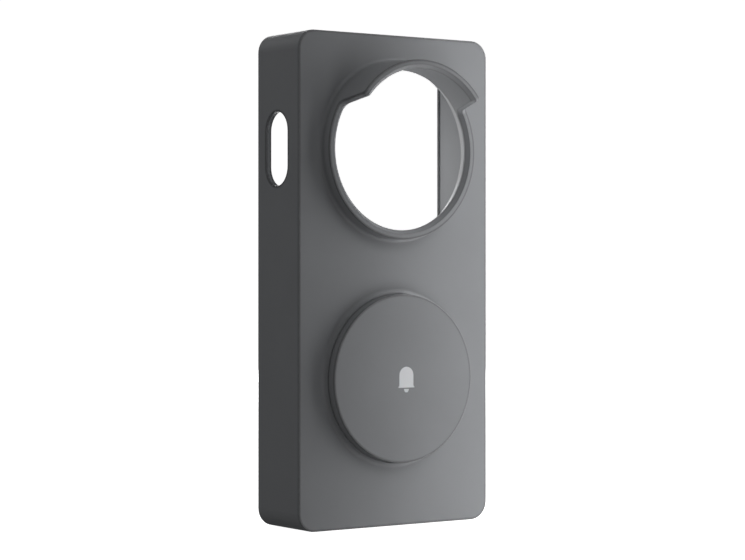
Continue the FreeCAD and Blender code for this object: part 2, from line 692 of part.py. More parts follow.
def board_connector():
    """Shrouded header on the rear of the board, for the lead to the doorbell's main unit."""
    x0, x1 = CONNECTOR_X - CONNECTOR_HALF_X, CONNECTOR_X + CONNECTOR_HALF_X
    z0, z1 = CONNECTOR_Z - CONNECTOR_HALF_Z, CONNECTOR_Z + CONNECTOR_HALF_Z
    rear_y = BOARD_REAR_Y + CONNECTOR_HEIGHT
    shroud = block(x0, x1, BOARD_REAR_Y, rear_y, z0, z1)
    hollow = block(x0 + CONNECTOR_SIDE, x1 - CONNECTOR_SIDE, BOARD_REAR_Y + CONNECTOR_FLOOR,
                   rear_y + CUT, z0 + CONNECTOR_SIDE, z1 - CONNECTOR_SIDE)
    key = block(CONNECTOR_X - KEY_HALF, CONNECTOR_X + KEY_HALF, BOARD_REAR_Y + KEY_FLOOR,
                rear_y + CUT, z1 - 2 * CONNECTOR_SIDE, z1 + CUT)
    pin_holes = pin_blocks(PIN_HALF + MATING_GAP, BOARD_REAR_Y - CUT, rear_y)
    return without(shroud, [hollow, key] + pin_holes)


def connector_pins():
    """Square pins through the board and the header's floor."""
    return Part.makeCompound(pin_blocks(PIN_HALF, BOARD_FRONT_Y - PIN_FRONT, BOARD_REAR_Y + PIN_REACH))


def driver_chip():
    """Driver circuit on the rear of the board, with a small index dimple."""
    rear_y = BOARD_REAR_Y + CHIP_THICK
    chip = block(CHIP_X - CHIP_HALF, CHIP_X + CHIP_HALF, BOARD_REAR_Y, rear_y,
                 CHIP_Z - CHIP_HALF, CHIP_Z + CHIP_HALF)
    inset = CHIP_HALF - DIMPLE_INSET
    return chip.cut(round_bar(DIMPLE_R, rear_y - DIMPLE_DEPTH, rear_y + CUT, CHIP_X - inset, CHIP_Z + inset))


def chip_parts():
    """Small resistors and capacitors on the rear of the board."""
    return Part.makeCompound([
        block(x - SMALL_HALF_X, x + SMALL_HALF_X, BOARD_REAR_Y, BOARD_REAR_Y + SMALL_THICK,
              BUTTON_Z + rise - SMALL_HALF_Z, BUTTON_Z + rise + SMALL_HALF_Z)
        for x, rise in SMALL_PLACES])


def icon_leds():
    """Two light-emitting diodes on the front of the board, behind the light guide."""
    front_y = BOARD_FRONT_Y - LED_THICK
    leds = []
    for side in (-1, 1):
        x = ICON_X + side * LED_SPACING / 2
        body = block(x - LED_HALF_X, x + LED_HALF_X, front_y, BOARD_FRONT_Y,
                     ICON_Z - LED_HALF_Z, ICON_Z + LED_HALF_Z)
        leds.append(body.cut(round_bar(LED_LENS_R, front_y - CUT, front_y + LED_LENS_DEPTH, x, ICON_Z)))
    return Part.makeCompound(leds)


# ---------------------------------------------------------------- tactile switch
def switch_block(half, y0, y1):
    """A square block round the switch's axis, with its corners cut off."""
    body = block(-half, half, y0, y1, SWITCH_Z - half, SWITCH_Z + half)
    return body.makeChamfer(SWITCH_CORNER, edges_along_y(body))


def switch_base():
    """Moulded base of the switch, with the well that the dome and the plunger sit in."""
    base = switch_block(SWITCH_HALF, SWITCH_FRONT_Y, BOARD_FRONT_Y)
    return base.cut(round_bar(SWITCH_WELL_R, SWITCH_FRONT_Y - CUT, WELL_FLOOR_Y, 0, SWITCH_Z))


def switch_cover():
    """Thin metal plate over the base, with the hole that the plunger slides in."""
    plate = switch_block(SWITCH_HALF - COVER_INSET, SWITCH_FRONT_Y - SWITCH_COVER, SWITCH_FRONT_Y)
    return plate.cut(round_bar(PLUNGER_R + PLUNGER_CLEARANCE, SWITCH_FRONT_Y - CUT,
                               SWITCH_FRONT_Y + CUT, 0, SWITCH_Z))


def switch_dome():
    """Snap dome: a thin spherical cap on the floor of the well, its crown under the plunger."""
    sphere_r = (DOME_R ** 2 + DOME_RISE ** 2) / (2 * DOME_RISE)
    crown_y = WELL_FLOOR_Y - DOME_RISE
    centre = Vector(0, crown_y + sphere_r, SWITCH_Z)
    shell = Part.makeSphere(sphere_r, centre).cut(Part.makeSphere(sphere_r - DOME_THICK, centre))
    return shell.common(round_bar(DOME_R + CUT, crown_y - CUT, WELL_FLOOR_Y, 0, SWITCH_Z))


def switch_plunger():
    """Round plunger with a shoulder that keeps it under the cover."""
    shoulder_y = SWITCH_FRONT_Y + MATING_GAP
    stem = round_bar(PLUNGER_R, PLUNGER_FRONT_Y, shoulder_y, 0, SWITCH_Z)
    stem = stem.makeFillet(PLUNGER_EDGE, front_edges(stem, PLUNGER_FRONT_Y))
    shoulder = round_bar(PLUNGER_SHOULDER_R, shoulder_y, shoulder_y + PLUNGER_SHOULDER, 0, SWITCH_Z)
    nib = round_bar(PLUNGER_R / 2, shoulder_y + PLUNGER_SHOULDER,
                    WELL_FLOOR_Y - DOME_RISE - MATING_GAP, 0, SWITCH_Z)
    return fused([stem, shoulder, nib])


def switch_terminals():
    """Four bent legs that solder the switch to the board."""
    side = SWITCH_HALF
    legs = []
    for z in (SWITCH_Z - TERMINAL_Z, SWITCH_Z + TERMINAL_Z):
        z0, z1 = z - TERMINAL_HALF_Z, z + TERMINAL_HALF_Z
        upright = block(side, side + TERMINAL_THICK, BOARD_FRONT_Y - TERMINAL_RISE, BOARD_FRONT_Y, z0, z1)
        toe = block(side, side + TERMINAL_FOOT, BOARD_FRONT_Y - TERMINAL_THICK, BOARD_FRONT_Y, z0, z1)
        right = fused([upright, toe])
        legs += [right, right.mirror(ORIGIN, X_AXIS)]
    return Part.makeCompound(legs)


# ---------------------------------------------------------------- output
SUB_PARTS = (
    front_housing, button_cap, bell_icon, press_pad, retaining_clips, return_springs,
    button_seal, guide_bushings, button_carrier, carrier_screws, threaded_inserts,
    light_guide, light_tube, button_board, board_screws, board_connector, connector_pins,
    driver_chip, chip_parts, icon_leds, switch_base, switch_cover, switch_dome,
    switch_plunger, switch_terminals,
)


def write(name, shape):
    """Writes one sub-part and reports it."""
    if not shape.isValid() or not shape.Solids:
        raise ValueError(name + " is not a valid solid")
    shape.exportStep("parts/" + name + ".step")
    print("%-18s %2d solids %10.2f mm3" % (name, len(shape.Solids), shape.Volume))


os.makedirs("parts", exist_ok=True)
for make in SUB_PARTS:
    write(make.__name__, make())
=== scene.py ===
"""Looks of the video doorbell's front housing: finishes, small added details, studio and camera.

Everything is in metres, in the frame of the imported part: X to the right and Z up when seen from
the street, Y into the wall.
"""
import bmesh
import bpy
import json
import math
from mathutils import Matrix, Vector


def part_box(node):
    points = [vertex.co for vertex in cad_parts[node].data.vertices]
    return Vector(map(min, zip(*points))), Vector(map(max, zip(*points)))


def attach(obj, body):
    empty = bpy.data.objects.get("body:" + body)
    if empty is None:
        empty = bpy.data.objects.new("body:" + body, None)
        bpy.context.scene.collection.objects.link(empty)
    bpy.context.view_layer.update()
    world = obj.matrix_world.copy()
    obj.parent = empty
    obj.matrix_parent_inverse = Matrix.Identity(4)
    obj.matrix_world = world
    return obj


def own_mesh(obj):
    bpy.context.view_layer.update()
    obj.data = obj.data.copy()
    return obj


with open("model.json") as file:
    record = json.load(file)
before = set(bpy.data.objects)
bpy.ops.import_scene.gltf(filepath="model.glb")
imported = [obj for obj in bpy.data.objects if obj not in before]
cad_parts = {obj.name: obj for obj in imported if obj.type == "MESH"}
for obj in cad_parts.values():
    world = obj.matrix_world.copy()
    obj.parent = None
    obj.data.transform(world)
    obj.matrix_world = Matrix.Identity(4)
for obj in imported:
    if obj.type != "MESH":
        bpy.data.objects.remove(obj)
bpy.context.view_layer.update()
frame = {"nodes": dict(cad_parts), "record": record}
nodes = frame["nodes"]

# ---------------------------------------------------------------- driving values
MM = 0.001

# Camera: level, and turned to see the housing's left side
CAMERA_AZIMUTH = 35.05          # degrees from looking along +Y
CAMERA_DISTANCE = 0.6711
CAMERA_AIM = Vector((4.9, -3.4, 75.7)) * MM
CAMERA_SENSOR = 36              # width; the lens's length is in the same unit
CAMERA_LENS = 106.65
CAMERA_SHIFT = -0.0139          # the horizon stands a little above the middle

# Studio. Lights are soft white rectangles; the numbers after each name are its place and watts.
HOUSING_MIDDLE = Vector((0, -11, 72.5)) * MM
STRIP_SIZE = (30 * MM, 300 * MM)
STRIP_AIM = Vector((0, -20, 77.5)) * MM
STRIPS = {                      # upright, close in front of the face: X and Y in mm
    "strip_near": (30, -65, 0.030),
    "strip_middle": (40, -65, 0.029),
    "strip_side": (90, -40, 0.215),
}
FAR_SIZE = (0.45, 0.45)
FAR_DISTANCE = 1.0
FAR_LIGHTS = {                  # far from the middle of the housing: azimuth and elevation
    "front_low": (0, -40, 1.85),
    "front_high": (0, 40, 1.85),
    "top": (0, 85, 0.58),
    "left": (262, 0, 0.74),
    "left_low": (270, -40, 0.6),
    "left_high": (270, 40, 1.3),
    "left_back": (225, 40, 1.3),
    "right_back": (150, 15, 5.0),
}
REAR_LAMPS = {                  # small, behind the camera opening: X, Y, Z and width in mm
    "rear_close": (-20, 20, 100, 20, 0.022),
    "rear_far": (10, 60, 110, 40, 0.028),
}
REAR_AIM = Vector((10, -10, 115)) * MM
WORLD_STRENGTH = 0.012
BACKDROP_RADIUS = 4.0
FLOOR_DROP = 0.2 * MM           # the floor lies this far under the housing

# Plastics of the outside
BODY_COLOR = (0.179, 0.184, 0.192)
BODY_ROUGHNESS = 0.55
BODY_GLOSS = 0.25               # share of the usual reflection: the plastic is matt
ICON_COLOR = (0.53, 0.54, 0.555)

# Painted shade: along the outside edges of the housing and the cap the colour is darkened. How open
# the inside is under a point, within the reach, tells an edge from a flat surface and from a thin
# rib.
SHADE_PAINT_REACH = 0.9 * MM
SHADE_PAINT_SAMPLES = 8
SHADE_PAINT_OPEN = (0.72, 0.92)        # from a full edge to a flat surface
THIN_RIB_UNSHADED = (0.3, 0.6)           # from a thin rib, which stays plain, to an edge
KEPT_UNDER_PAINTED_SHADE = 0.4                # share of its colour that the plastic keeps under the painted shade at an edge
HOUSING_NO_PAINTED_SHADE_R = 28 * MM       # round the button's axis: within it, the housing's edges get no painted shade
CAP_NO_PAINTED_SHADE_R = 20 * MM           # the same for the button's cap
PAINTED_SHADE_FADE = 0.5 * MM          # width of the change from unshaded edges to edges with painted shade

# Patterns
NOISE_SPAN = (0.3, 0.7)         # most of a noise's values
WAVE_TURN = math.pi / 10        # a wave texture's period is this over its scale
KNURL_PITCH = 0.45 * MM
RUN_PITCH = 1.25 * MM           # copper runs on the circuit board
PATCH_SIZE = 6.5 * MM           # areas of the board with runs one way
HOLE_SPACING = 3.4 * MM         # plated holes; their rings and bores are shares of this
RESISTORS_X = (11.4 * MM, 11.6 * MM)    # chip parts to the right of this are resistors
LED_HALF = 1.0 * MM             # half a diode's width
PHOSPHOR_R = (0.62 * MM, 0.72 * MM)     # all yellow within the first, none beyond the second

# Added solder and plating, around the pieces on the circuit board
CAP_END = 0.28 * MM             # length of the metal ends of a small chip part
CAP_SKIN = 0.02 * MM            # how far they stand proud of its body
CAP_BEVEL = 1.5 * CAP_SKIN
SOLDER_REACH = 0.45 * MM        # how far a solder fillet runs out on the board
PART_SOLDER_RISE = 0.6          # height of a chip part's fillets, as a share of the part's
LEAD_SOLDER_RISE = 0.3          # the same at the driver chip
PAD_WIDTH = 0.3 * MM
PADS_PER_SIDE = 6
PAD_PITCH = 0.65 * MM
PLATING = 0.035 * MM            # thickness of bare plated copper
TEST_PAD_R = 0.65 * MM
# X and height of the test pads from the board's middle, in mm
TEST_PADS = ((-15, -4), (-12.5, -4), (-10, -4), (-7.5, -4), (-15, -7), (-12.5, -7))
SCREW_RING_INNER = 1.93 * MM
SCREW_RING_OUTER = 2.65 * MM


# ---------------------------------------------------------------- materials
def button_center():
    """A point on the axis of the round button."""
    low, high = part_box("button_cap")
    return (Vector(low) + Vector(high)) / 2


class Look:
    """A material made of patterns in the part's own coordinates, feeding one Principled shader."""

    def __init__(self, name):
        self.material = bpy.data.materials.new(name)
        self.material.use_nodes = True
        self.tree = self.material.node_tree
        self.shader = self.tree.nodes["Principled BSDF"]
        self.source = self.node("ShaderNodeTexCoord")
        self.place = self.source.outputs["Object"]

    def node(self, kind, **settings):
        made = self.tree.nodes.new(kind)
        for key, value in settings.items():
            setattr(made, key, value)
        return made

    def join(self, source, target):
        self.tree.links.new(source, target)

    def set(self, **values):
        """Sets the shader's own sockets; an underscore in a name stands for a space."""
        for key, value in values.items():
            self.shader.inputs[key.replace("_", " ")].default_value = value

    def stretched(self, stretch):
        """The part's coordinates, scaled along each axis."""
        mapping = self.node("ShaderNodeMapping")
        mapping.inputs["Scale"].default_value = stretch
        self.join(self.place, mapping.inputs["Vector"])
        return mapping.outputs["Vector"]

    def noise(self, size, detail=2.0, stretch=(1, 1, 1)):
        """Noise whose features are about size metres across; most of it lies in 0.3 to 0.7."""
        noise = self.node("ShaderNodeTexNoise")
        noise.inputs["Scale"].default_value = 1 / size
        noise.inputs["Detail"].default_value = detail
        self.join(self.stretched(stretch), noise.inputs["Vector"])
        return noise.outputs["Fac"]

    def pores(self, size):
        """Distance to the nearest of many scattered points, about size metres apart."""
        cells = self.node("ShaderNodeTexVoronoi")
        cells.inputs["Scale"].default_value = 1 / size
        self.join(self.place, cells.inputs["Vector"])
        return cells.outputs["Distance"]

    def bands(self, direction, period):
        """A smooth wave from 0 to 1 along X, Y or Z; along the DIAGONAL it is 15% longer."""
        wave = self.node("ShaderNodeTexWave", bands_direction=direction)
        wave.inputs["Scale"].default_value = WAVE_TURN / period
        self.join(self.place, wave.inputs["Vector"])
        return wave.outputs["Fac"]

    def along(self, axis):
        """The part's own X, Y or Z coordinate, in metres."""
        split = self.node("ShaderNodeSeparateXYZ")
        self.join(self.place, split.inputs["Vector"])
        return split.outputs[axis]

    def facing(self, axis):
        """How squarely the surface faces along an axis, 0 to 1."""
        split = self.node("ShaderNodeSeparateXYZ")
        self.join(self.source.outputs["Normal"], split.inputs["Vector"])
        size = self.node("ShaderNodeMath", operation="ABSOLUTE")
        self.join(split.outputs[axis], size.inputs[0])
        return size.outputs["Value"]

    def flat_cells(self, size, randomness, **settings):
        """Cells in the X-Z plane, about size metres across."""
        split = self.node("ShaderNodeSeparateXYZ")
        plan = self.node("ShaderNodeCombineXYZ")
        cells = self.node("ShaderNodeTexVoronoi", voronoi_dimensions="2D", **settings)
        cells.inputs["Scale"].default_value = 1 / size
        cells.inputs["Randomness"].default_value = randomness
        self.join(self.place, split.inputs["Vector"])
        self.join(split.outputs["X"], plan.inputs["X"])
        self.join(split.outputs["Z"], plan.inputs["Y"])
        self.join(plan.outputs["Vector"], cells.inputs["Vector"])
        return cells

    def ranged(self, value, start, end, low=0.0, high=1.0):
        """Maps start to end onto low to high, and holds the value outside them."""
        ranged = self.node("ShaderNodeMapRange")
        ranged.inputs["From Min"].default_value = start
        ranged.inputs["From Max"].default_value = end
        ranged.inputs["To Min"].default_value = low
        ranged.inputs["To Max"].default_value = high
        self.join(value, ranged.inputs["Value"])
        return ranged.outputs["Result"]

    def mixed(self, factor, first, second):
        """A colour between two; each is a socket or a plain colour."""
        mix = self.node("ShaderNodeMix", data_type="RGBA")
        self.join(factor, mix.inputs["Factor"])
        for socket, color in ((mix.inputs["A"], first), (mix.inputs["B"], second)):
            if isinstance(color, tuple):
                socket.default_value = (*color, 1)
            else:
                self.join(color, socket)
        return mix.outputs["Result"]

    def times(self, first, second):
        product = self.node("ShaderNodeMath", operation="MULTIPLY")
        self.join(first, product.inputs[0])
        self.join(second, product.inputs[1])
        return product.outputs["Value"]

    def shades(self, value, color, darker, lighter):
        """Colour that runs from color times darker to color times lighter with a pattern."""
        dark = tuple(c * darker for c in color)
        light_one = tuple(c * lighter for c in color)
        return self.mixed(self.ranged(value, *NOISE_SPAN), dark, light_one)

    def beyond(self, center, radius):
        """0 within a radius of a line along Y through center, and 1 outside it."""
        flat = self.node("ShaderNodeVectorMath", operation="MULTIPLY")
        flat.inputs[1].default_value = (1, 0, 1)
        self.join(self.place, flat.inputs[0])
        apart = self.node("ShaderNodeVectorMath", operation="DISTANCE")
        apart.inputs[1].default_value = (center.x, 0, center.z)
        self.join(flat.outputs["Vector"], apart.inputs[0])
        return self.ranged(apart.outputs["Value"], radius, radius + PAINTED_SHADE_FADE)

    def edges(self):
        """Mask of the painted edge shade: 1 along outside edges and 0 on flat surfaces and on ribs
        much thinner than the reach.
        """
        inside = self.node("ShaderNodeAmbientOcclusion", inside=True, only_local=True,
                           samples=SHADE_PAINT_SAMPLES)
        inside.inputs["Distance"].default_value = SHADE_PAINT_REACH
        bent = self.ranged(inside.outputs["AO"], *SHADE_PAINT_OPEN, 1.0, 0.0)
        thick = self.ranged(inside.outputs["AO"], *THIN_RIB_UNSHADED)
        return self.times(bent, thick)

    def paint(self, color):
        self.join(color, self.shader.inputs["Base Color"])

    def relief(self, value, depth):
        """Bumps from a pattern, depth metres from low to high; they add to earlier ones."""
        bump = self.node("ShaderNodeBump")
        bump.inputs["Distance"].default_value = depth
        self.join(value, bump.inputs["Height"])
        normal = self.shader.inputs["Normal"]
        if normal.is_linked:
            self.join(normal.links[0].from_socket, bump.inputs["Normal"])
        self.join(bump.outputs["Normal"], normal)

    def roughness(self, value, low, high):
        self.join(self.ranged(value, *NOISE_SPAN, low, high), self.shader.inputs["Roughness"])


def moulded(name, color, roughness, grain=0.35 * MM, depth=0.004 * MM, tone=0.03,
            painted_shade_beyond=None, **extra):
    """Moulded plastic: fine grain from the mould and slow, faint changes of tone and gloss.

    The edge-shade argument is a radius round the button's axis; outside it, edges get painted
    shade, a darkened colour.
    """
    look = Look(name)
    fine = look.noise(grain)
    slow = look.noise(22 * MM, detail=3.0)
    shade = look.shades(slow, color, 1 - tone, 1 + tone)
    if painted_shade_beyond:
        # painted shade: the colour is darkened along outside edges, away from the button
        share = look.times(look.edges(), look.beyond(button_center(), painted_shade_beyond))
        shade = look.mixed(share, shade, tuple(c * KEPT_UNDER_PAINTED_SHADE for c in color))
    look.paint(shade)
    look.roughness(fine, roughness - 0.04, roughness + 0.04)
    look.relief(fine, depth)
    look.set(**extra)
    return look.material


def flecked(name, color, fleck, size, roughness, stretch=(1, 1, 1), depth=0.008 * MM):
    """Filled plastic or ceramic, with short lighter flecks in it."""
    look = Look(name)
    flecks = look.noise(size, detail=3.0, stretch=stretch)
    look.paint(look.mixed(look.ranged(flecks, 0.52, 0.72), color, fleck))
    look.roughness(look.noise(size * 3), roughness - 0.06, roughness + 0.06)
    look.relief(flecks, depth)
    return look.material


def metal(name, color, low, high, size=0.4 * MM, stretch=(1, 1, 1), depth=0.003 * MM):
    """Bare or plated metal: fine working marks, and slow blotches of tone."""
    look = Look(name)
    marks = look.noise(size, detail=4.0, stretch=stretch)
    look.paint(look.shades(look.noise(2.2 * MM, detail=3.0), color, 0.86, 1.05))
    look.roughness(marks, low, high)
    look.relief(marks, depth)
    look.set(Metallic=1.0)
    return look.material


def rubber(name, color, grain, depth, roughness):
    """Soft rubber or foam: round pores, a dusty sheen and a little mottling."""
    look = Look(name)
    pores = look.pores(grain)
    look.paint(look.mixed(look.ranged(pores, 0.1, 0.6), tuple(c * 0.55 for c in color), color))
    look.roughness(look.noise(4 * grain), roughness - 0.05, roughness + 0.05)
    look.relief(pores, depth)
    look.set(Sheen_Weight=0.15, Sheen_Roughness=0.6)
    return look.material


def brass(name):
    """Turned brass with the slanting grooves of a knurl."""
    look = Look(name)
    grooves = look.bands("DIAGONAL", KNURL_PITCH)
    look.paint(look.shades(look.noise(1.5 * MM, detail=3.0), (0.80, 0.58, 0.27), 0.8, 1.05))
    look.roughness(look.noise(0.3 * MM), 0.24, 0.38)
    look.relief(grooves, 0.05 * MM)
    look.set(Metallic=1.0)
    return look.material


def circuit_board(name):
    """Green lacquer over copper runs, with plated holes, and bare laminate round the edge."""
    look = Look(name)
    lacquer = (0.010, 0.085, 0.038)
    over_copper = (0.022, 0.150, 0.060)
    plated = (0.72, 0.62, 0.38)
    laminate = (0.42, 0.38, 0.20)
    runs_across = look.ranged(look.bands("Z", RUN_PITCH), 0.52, 0.60)
    runs_upright = look.ranged(look.bands("X", RUN_PITCH), 0.52, 0.60)
    patches = look.flat_cells(PATCH_SIZE, 0.5, distance="CHEBYCHEV")
    patch_kind = look.node("ShaderNodeSeparateColor")
    look.join(patches.outputs["Color"], patch_kind.inputs["Color"])
    upright_here = look.ranged(patch_kind.outputs["Red"], 0.49, 0.51)
    runs = look.node("ShaderNodeMix", data_type="FLOAT")
    look.join(upright_here, runs.inputs["Factor"])
    look.join(runs_across, runs.inputs["A"])
    look.join(runs_upright, runs.inputs["B"])
    copper_here = look.ranged(patch_kind.outputs["Green"], 0.30, 0.31)
    copper = look.times(runs.outputs["Result"], copper_here)
    holes = look.flat_cells(HOLE_SPACING, 0.9).outputs["Distance"]
    ring = look.ranged(holes, 0.105, 0.095)
    outside_painted_holes = look.ranged(holes, 0.050, 0.058)
    on_top = look.ranged(look.facing("Y"), 0.45, 0.55)
    mottled = look.shades(look.noise(0.5 * MM, detail=3.0), lacquer, 0.85, 1.15)
    face = look.mixed(copper, mottled, over_copper)
    face = look.mixed(ring, face, plated)
    # painted shade: each hole's middle is painted near black instead of being cut
    face = look.mixed(outside_painted_holes, (0.02, 0.02, 0.02), face)
    look.paint(look.mixed(on_top, laminate, face))
    bare = look.times(look.times(ring, outside_painted_holes), on_top)
    look.join(bare, look.shader.inputs["Metallic"])
    look.roughness(look.noise(0.8 * MM), 0.28, 0.42)
    look.relief(copper, 0.035 * MM)
    look.relief(look.noise(0.25 * MM), 0.004 * MM)
    return look.material


def chip_parts_look(name):
    """Ceramic capacitors in tan, and on the right of the board black resistors."""
    look = Look(name)
    tan = look.shades(look.noise(0.25 * MM), (0.30, 0.19, 0.11), 0.85, 1.15)
    black = look.shades(look.noise(0.2 * MM), (0.020, 0.020, 0.022), 0.7, 1.4)
    on_right = look.ranged(look.along("X"), *RESISTORS_X)
    look.paint(look.mixed(on_right, tan, black))
    look.roughness(look.noise(0.3 * MM), 0.35, 0.5)
    look.relief(look.noise(0.2 * MM), 0.004 * MM)
    return look.material


def led_look(name, lens_places):
    """White diode bodies with yellow phosphor round each lens's middle."""
    look = Look(name)
    all_yellow, no_yellow = PHOSPHOR_R
    glow = None
    for place in lens_places:
        distance = look.node("ShaderNodeVectorMath", operation="DISTANCE")
        look.join(look.place, distance.inputs[0])
        distance.inputs[1].default_value = place
        near = look.ranged(distance.outputs["Value"], no_yellow, all_yellow)
        if glow is None:
            glow = near
        else:
            both = look.node("ShaderNodeMath", operation="MAXIMUM")
            look.join(glow, both.inputs[0])
            look.join(near, both.inputs[1])
            glow = both.outputs["Value"]
    body = look.shades(look.noise(0.4 * MM), (0.78, 0.77, 0.73), 0.95, 1.03)
    look.paint(look.mixed(glow, body, (0.85, 0.62, 0.08)))
    look.roughness(look.noise(0.3 * MM), 0.3, 0.45)
    look.relief(look.noise(0.2 * MM), 0.003 * MM)
    return look.material


def led_lens_places():
    """Middles of the two diodes' front faces."""
    low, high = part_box("icon_leds")
    middle = (low + high) / 2
    return [(x, low.y, middle.z) for x in (low.x + LED_HALF, high.x - LED_HALF)]


def finishes():
    """One material for each of the record's slots."""
    return {
        # the housing and the cap get painted shade along their outside edges
        "housing_plastic": moulded("housing_plastic", BODY_COLOR, BODY_ROUGHNESS,
                                   painted_shade_beyond=HOUSING_NO_PAINTED_SHADE_R, Specular_IOR_Level=BODY_GLOSS),
        "cap_plastic": moulded("cap_plastic", BODY_COLOR, BODY_ROUGHNESS, grain=0.30 * MM,
                               painted_shade_beyond=CAP_NO_PAINTED_SHADE_R, Specular_IOR_Level=BODY_GLOSS),
        "icon_plastic": moulded("icon_plastic", ICON_COLOR, 0.40, grain=0.25 * MM, depth=0.002 * MM,
                                Subsurface_Weight=0.15, Subsurface_Scale=0.6 * MM),
        "silicone": moulded("silicone", (0.045, 0.047, 0.050), 0.62, grain=0.5 * MM,
                            depth=0.010 * MM, Sheen_Weight=0.2),
        "spring_steel": metal("spring_steel", (0.62, 0.61, 0.59), 0.24, 0.36,
                              size=0.25 * MM, stretch=(1, 0.25, 1)),
        "foam_rubber": rubber("foam_rubber", (0.045, 0.045, 0.047), 0.45 * MM, 0.06 * MM, 0.88),
        "bushing_plastic": moulded("bushing_plastic", (0.74, 0.72, 0.66), 0.38, tone=0.04,
                                   Subsurface_Weight=0.1, Subsurface_Scale=0.5 * MM),
        "carrier_plastic": flecked("carrier_plastic", (0.034, 0.035, 0.038), (0.050, 0.051, 0.054),
                                   0.5 * MM, 0.56, stretch=(0.35, 1, 1)),
        "zinc_steel": metal("zinc_steel", (0.66, 0.68, 0.72), 0.26, 0.44, size=0.5 * MM),
        "insert_brass": brass("insert_brass"),
        "clear_plastic": moulded("clear_plastic", (0.93, 0.95, 0.96), 0.16, tone=0.01,
                                 depth=0.002 * MM, Transmission_Weight=0.92, IOR=1.49),
        "white_plastic": moulded("white_plastic", (0.82, 0.82, 0.80), 0.42),
        "circuit_board": circuit_board("circuit_board"),
        "connector_plastic": moulded("connector_plastic", (0.74, 0.71, 0.60), 0.40,
                                     grain=0.4 * MM, depth=0.006 * MM),
        "pin_metal": metal("pin_metal", (0.78, 0.77, 0.73), 0.22, 0.36, size=0.2 * MM),
        "chip_plastic": flecked("chip_plastic", (0.012, 0.012, 0.013), (0.030, 0.030, 0.032),
                                0.12 * MM, 0.56, depth=0.005 * MM),
        "chip_ceramic": chip_parts_look("chip_ceramic"),
        "led_package": led_look("led_package", led_lens_places()),
        "switch_plastic": flecked("switch_plastic", (0.020, 0.020, 0.021), (0.045, 0.045, 0.046),
                                  0.3 * MM, 0.50),
        "plunger_plastic": moulded("plunger_plastic", (0.50, 0.10, 0.06), 0.42,
                                   grain=0.4 * MM, depth=0.006 * MM),
    }


def dress(looks):
    """Gives each CAD node the material of its slot."""
    for row in frame["record"]["subparts"]:
        mesh = nodes[row["node"]].data
        mesh.materials.clear()
        mesh.materials.append(looks[row["material_slot"]])


# ---------------------------------------------------------------- added pieces
def islands(mesh):
    """Lowest and highest corner of each separate solid in a mesh."""
    parent = {}

    def root(key):
        while parent[key] != key:
            key = parent[key]
        return key

    def key_of(vertex):
        return tuple(round(c / (0.001 * MM)) for c in vertex.co)

    keys = [key_of(v) for v in mesh.vertices]
    for key in keys:
        parent.setdefault(key, key)
    for edge in mesh.edges:
        first, second = (root(keys[v]) for v in edge.vertices)
        parent[first] = second
    groups = {}
    for vertex, key in zip(mesh.vertices, keys):
        groups.setdefault(root(key), []).append(vertex.co)
    boxes = []
    for group in sorted(groups.values(), key=lambda g: tuple(g[0])):
        low = Vector([min(co[axis] for co in group) for axis in range(3)])
        high = Vector([max(co[axis] for co in group) for axis in range(3)])
        boxes.append((low, high))
    return boxes


def block(work, low, high, bevel):
    """A box with bevelled edges, added to a bmesh."""
    size = high - low
    place = Matrix.Translation((low + high) / 2) @ Matrix.Diagonal((*size, 1))
    made = bmesh.ops.create_cube(work, size=1.0, matrix=place)
    edges = {edge for vertex in made["verts"] for edge in vertex.link_edges}
    bmesh.ops.bevel(work, geom=list(edges), offset=bevel, segments=2, profile=0.5,
                    affect="EDGES", clamp_overlap=True)


def fillet(work, foot, outward, width, reach, rise):
    """A hollow-faced solder fillet from a wall down to the board, added to a bmesh.

    foot is the point at the middle of the wall's foot; the board faces +Y.
    """
    up = Vector((0, 1, 0))
    side = outward.cross(up)
    steps = 5
    curve = []
    for step in range(steps + 1):
        turn = math.pi / 2 * step / steps
        curve.append((reach * (1 - math.sin(turn)), rise * (1 - math.cos(turn))))
    profile = [(0.0, 0.0)] + curve
    rings = []
    for half in (-width / 2, width / 2):
        rings.append([work.verts.new(foot + outward * out + up * height + side * half)
                      for out, height in profile])
    count = len(profile)
    for k in range(count):
        after = (k + 1) % count
        work.faces.new((rings[0][k], rings[0][after], rings[1][after], rings[1][k]))
    work.faces.new(rings[0][::-1])
    work.faces.new(rings[1])


def turned_ring(work, centre, inner, outer, height, steps=40):
    """A flat ring or disc standing on the board, with softened edges, added to a bmesh."""
    soft = height * 0.5
    profile = [(outer, 0.0), (outer, height - soft), (outer - soft, height)]
    if inner > 0:
        profile += [(inner + soft, height), (inner, height - soft), (inner, 0.0)]
    circles = []
    turns = [2 * math.pi * k / steps for k in range(steps)]
    for radius, rise in profile:
        points = [Vector((radius * math.cos(t), rise, radius * math.sin(t))) for t in turns]
        circles.append([work.verts.new(centre + point) for point in points])
    closed = zip(circles, circles[1:] + circles[:1]) if inner > 0 else zip(circles, circles[1:])
    for first, second in closed:
        for k in range(steps):
            after = (k + 1) % steps
            work.faces.new((first[k], second[k], second[after], first[after]))
    if inner <= 0:
        work.faces.new(circles[-1])
        work.faces.new(circles[0][::-1])


def piece(name, work, material, body):
    """Turns a bmesh into an object that rides on a body."""
    bmesh.ops.recalc_face_normals(work, faces=work.faces)
    mesh = bpy.data.meshes.new(name)
    work.to_mesh(mesh)
    work.free()
    mesh.materials.append(material)
    for face in mesh.polygons:
        face.use_smooth = False
    made = bpy.data.objects.new(name, mesh)
    bpy.context.collection.objects.link(made)
    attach(made, body)


def squash_soft_nodes():
    """Gives the springs, the seal and the snap dome, which the record lists as deforming with a
    joint, each a mesh of its own.
    """
    for joint in frame["record"]["behaviour"]["joints"]:
        for soft in joint["deforming_nodes"]:
            low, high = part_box(soft["node"])
            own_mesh(nodes[soft["node"]])


